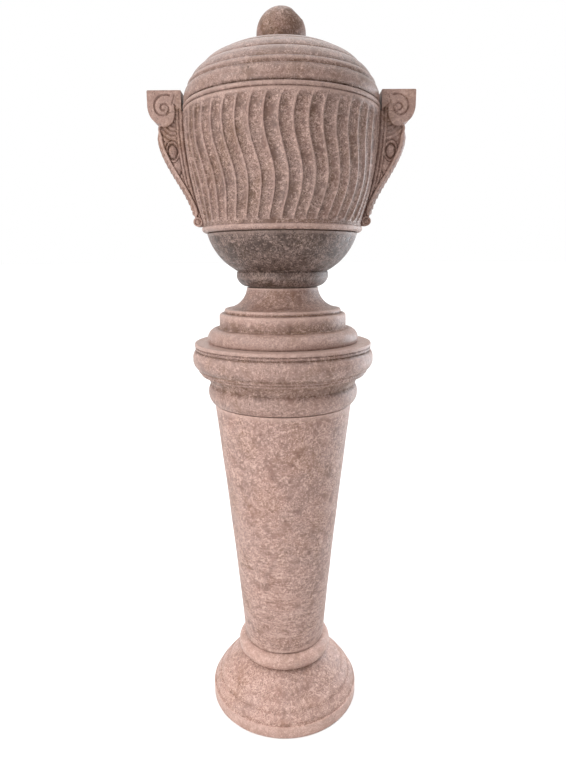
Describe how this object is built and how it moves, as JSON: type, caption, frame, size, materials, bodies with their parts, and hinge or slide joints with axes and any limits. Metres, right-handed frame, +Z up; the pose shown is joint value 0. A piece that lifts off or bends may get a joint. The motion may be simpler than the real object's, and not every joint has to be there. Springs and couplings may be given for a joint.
{
  "type": "lidded urn on column",
  "caption": "Lidded round urn with S-curved flutes and two scroll bracket handles, on a spreading foot, standing on a tapered round column with a moulded capital and base.",
  "frame": {"origin": "centre of the column's flat underside, on the floor", "axes": "+Z up the column, +X towards the right-hand handle, -Y towards the front"},
  "size_m": [0.67, 0.4994, 1.9146],
  "materials": {
    "marble": "honed pinkish-brown marble with pale flecks and brown pits",
    "mortar": "rough brown-grey bedding mortar",
    "steel": "stainless steel dowel bar"
  },
  "bodies": {
    "pedestal": {"pedestal_base": "marble", "base_bed": "mortar", "base_dowel": "steel", "pedestal_shaft": "marble", "neck_bed": "mortar", "neck_dowel": "steel", "pedestal_capital": "marble", "urn_locating_dowel": "steel"},
    "urn": {"urn_foot": "marble", "stem_bed": "mortar", "stem_dowel": "steel", "urn_bowl": "marble", "bowl_bed": "mortar", "body_pin_1": "steel", "body_pin_2": "steel", "body_pin_3": "steel", "body_pin_4": "steel", "urn_body": "marble", "handle_right": "marble", "handle_left": "marble", "handle_pin_right_low": "steel", "handle_pin_right_high": "steel", "handle_pin_left_low": "steel", "handle_pin_left_high": "steel"},
    "lid": {"lid": "marble", "knob_bed": "mortar", "knob_dowel": "steel", "lid_knob": "marble"}
  },
  "joints": [
    {"name": "urn_lift", "type": "slide", "parent": "pedestal", "child": "urn", "axis": [0, 0, 1], "range_m": [0, 0.12]},
    {"name": "lid_lift", "type": "slide", "parent": "urn", "child": "lid", "axis": [0, 0, 1], "range_m": [0, 0.2]}
  ]
}
